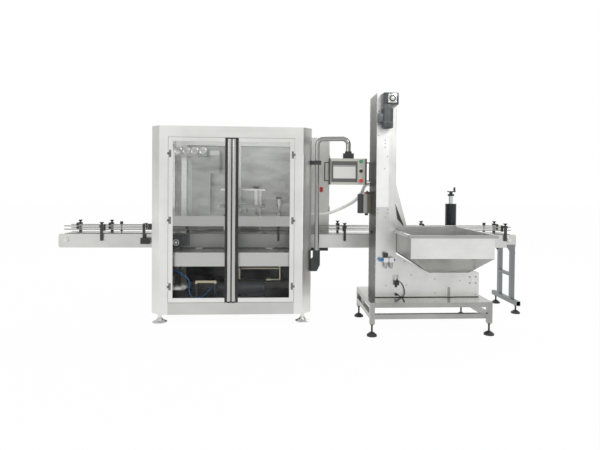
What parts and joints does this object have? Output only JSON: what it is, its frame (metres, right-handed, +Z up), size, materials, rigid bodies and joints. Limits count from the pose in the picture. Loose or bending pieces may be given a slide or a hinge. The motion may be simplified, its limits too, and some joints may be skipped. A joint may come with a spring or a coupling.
{
  "type": "vacuum capping line",
  "caption": "Glazed vacuum capping cabinet on a slat chain conveyor with a hopper-fed cap elevator, an operator panel on an arm and an electrical box.",
  "frame": {"origin": "on the floor in the middle of the footprint", "axes": "+X along the jars' travel, +Y away from the operator, +Z up"},
  "size_m": [5.056, 1.886, 2.318],
  "materials": {
    "stainless": "brushed stainless sheet",
    "polished_steel": "ground bright steel",
    "chain_steel": "worn slats",
    "clear_glass": "clear",
    "grip_profile": "satin profile with a black seal",
    "head_metal": "machined, dark motor",
    "black_plastic": "matte black",
    "white_plastic": "matte white",
    "red_plastic": "red",
    "green_plastic": "green",
    "dark_paint": "dark grey paint",
    "motor_grey": "grey paint with dark ends",
    "black_cast": "black paint",
    "panel_grey": "light grey with a dark screen",
    "control_metal": "grey with black parts",
    "belt_rubber": "dark belt",
    "blue_hose": "blue",
    "grey_hose": "light grey, ribbed"
  },
  "bodies": {
    "machine": {"corner_posts": "stainless", "cabinet_rails": "stainless", "wall_panels": "stainless", "clear_panels": "clear_glass", "cabinet_feet": "stainless", "post_hinges": "stainless", "machine_table": "stainless", "guide_columns": "polished_steel", "vacuum_pump": "dark_paint", "valve_panel": "dark_paint", "vacuum_hose": "blue_hose", "conveyor_frame": "stainless", "conveyor_chain": "chain_steel", "guide_rails": "polished_steel", "rail_clamps": "black_plastic", "jar_stop": "black_plastic", "leg_frame": "stainless", "dark_feet": "black_plastic", "conveyor_gearmotor": "dark_paint", "electrical_box": "stainless", "arm_bracket": "black_cast", "stand": "stainless", "elevator_plates": "stainless", "elevator_covers": "stainless", "elevator_belt": "belt_rubber", "elevator_gearmotor": "motor_grey", "hopper": "stainless", "control_box": "control_metal", "air_unit": "control_metal", "cap_sensor": "black_plastic", "flexible_leads": "grey_hose", "crank_column": "black_cast"},
    "left_door": {"left_door_frame": "stainless", "left_door_glass": "clear_glass", "left_door_grip": "grip_profile"},
    "right_door": {"right_door_frame": "stainless", "right_door_glass": "clear_glass", "right_door_grip": "grip_profile"},
    "box_door": {"electrical_door": "stainless"},
    "main_switch": {"main_switch": "red_plastic"},
    "arm": {"arm_tube": "polished_steel"},
    "panel": {"panel_housing": "panel_grey", "panel_screen": "panel_grey", "panel_handles": "black_plastic"},
    "start_button": {"start_button": "green_plastic"},
    "stop_button": {"stop_button": "red_plastic"},
    "selector": {"selector_switch": "black_plastic"},
    "head": {"head_carriage": "head_metal"},
    "spindle": {"capping_spindle": "polished_steel"},
    "lift_knob": {"lift_knob": "black_plastic"},
    "star_knob": {"star_knob": "black_plastic"},
    "front_clamp": {"front_clamp": "white_plastic"},
    "rear_clamp": {"rear_clamp": "white_plastic"},
    "drive_shaft": {"drive_shaft": "polished_steel"},
    "left_shaft": {"left_end_shaft": "polished_steel"},
    "right_shaft": {"right_end_shaft": "polished_steel"},
    "head_pulley": {"head_pulley": "polished_steel"},
    "tail_pulley": {"tail_pulley": "polished_steel"},
    "crank": {"crank_handle": "polished_steel"},
    "air_knob": {"air_knob": "black_plastic"}
  },
  "joints": [
    {"name": "left_door_hinge", "type": "hinge", "parent": "machine", "child": "left_door", "pos_m": [-1.2845, -0.186, 1.05], "axis": [0, 0, 1], "range_deg": [-110, 0]},
    {"name": "right_door_hinge", "type": "hinge", "parent": "machine", "child": "right_door", "pos_m": [-0.0155, -0.186, 1.05], "axis": [0, 0, 1], "range_deg": [0, 110]},
    {"name": "box_door_hinge", "type": "hinge", "parent": "machine", "child": "box_door", "pos_m": [0.43, 0.555, 1.433], "axis": [0, 0, 1], "range_deg": [0, 110]},
    {"name": "main_switch_turn", "type": "hinge", "parent": "box_door", "child": "main_switch", "pos_m": [0.333, 0.555, 1.363], "axis": [0, 1, 0], "range_deg": [0, 90]},
    {"name": "arm_swivel", "type": "hinge", "parent": "machine", "child": "arm", "pos_m": [0.227, -0.072, 1.5], "axis": [0, 0, 1], "range_deg": [-75, 0]},
    {"name": "panel_swivel", "type": "hinge", "parent": "arm", "child": "panel", "pos_m": [0.54001, -0.13853, 1.744], "axis": [0, 0, 1], "range_deg": [-60, 0]},
    {"name": "start_button_press", "type": "slide", "parent": "panel", "child": "start_button", "axis": [0, 1, 0], "range_m": [0, 0.004], "stiffness_N_per_m": 600, "springref_m": -0.001},
    {"name": "stop_button_press", "type": "slide", "parent": "panel", "child": "stop_button", "axis": [0, 1, 0], "range_m": [0, 0.004], "stiffness_N_per_m": 900, "springref_m": -0.001},
    {"name": "selector_turn", "type": "hinge", "parent": "panel", "child": "selector", "pos_m": [0.66101, -0.20853, 1.5625], "axis": [0, 1, 0], "range_deg": [-45, 45]},
    {"name": "head_lift", "type": "slide", "parent": "machine", "child": "head", "axis": [0, 0, 1], "range_m": [-0.04, 0]},
    {"name": "capping_spin", "type": "hinge", "parent": "head", "child": "spindle", "pos_m": [-0.71, 0.376, 1.03], "axis": [0, 0, 1], "continuous": true},
    {"name": "lift_knob_turn", "type": "hinge", "parent": "machine", "child": "lift_knob", "pos_m": [-0.424, 0.496, 1.366], "axis": [0, 0, 1], "continuous": true},
    {"name": "star_knob_turn", "type": "hinge", "parent": "machine", "child": "star_knob", "pos_m": [-0.163, 0.581, 1.246], "axis": [0, 0, 1], "continuous": true},
    {"name": "front_clamp_slide", "type": "slide", "parent": "machine", "child": "front_clamp", "axis": [0, 1, 0], "range_m": [0, 0.025]},
    {"name": "rear_clamp_slide", "type": "slide", "parent": "machine", "child": "rear_clamp", "axis": [0, -1, 0], "range_m": [0, 0.025]},
    {"name": "drive_spin", "type": "hinge", "parent": "machine", "child": "drive_shaft", "pos_m": [-1.263, 0.376, 0.79], "axis": [0, 1, 0], "continuous": true},
    {"name": "left_end_spin", "type": "hinge", "parent": "machine", "child": "left_shaft", "pos_m": [-2.4445, 0.376, 0.8105], "axis": [0, 1, 0], "continuous": true},
    {"name": "right_end_spin", "type": "hinge", "parent": "machine", "child": "right_shaft", "pos_m": [2.4445, 0.376, 0.8105], "axis": [0, 1, 0], "continuous": true},
    {"name": "head_pulley_spin", "type": "hinge", "parent": "machine", "child": "head_pulley", "pos_m": [0.897, -0.2595, 2.25], "axis": [0, 1, 0], "continuous": true},
    {"name": "tail_pulley_spin", "type": "hinge", "parent": "machine", "child": "tail_pulley", "pos_m": [1.749, -0.2595, 0.488], "axis": [0, 1, 0], "continuous": true},
    {"name": "crank_turn", "type": "hinge", "parent": "machine", "child": "crank", "pos_m": [1.921, 0.633, 1.32], "axis": [0, 0, 1], "continuous": true},
    {"name": "air_knob_turn", "type": "hinge", "parent": "machine", "child": "air_knob", "pos_m": [0.865, -0.463, 0.73], "axis": [0, 0, 1], "range_deg": [-360, 360]}
  ],
  "couplings": [
    {"joint": "left_end_spin", "follows": "drive_spin", "ratio": 0.66667},
    {"joint": "right_end_spin", "follows": "drive_spin", "ratio": 0.66667},
    {"joint": "tail_pulley_spin", "follows": "head_pulley_spin", "ratio": 1},
    {"joint": "rear_clamp_slide", "follows": "front_clamp_slide", "ratio": 1}
  ]
}
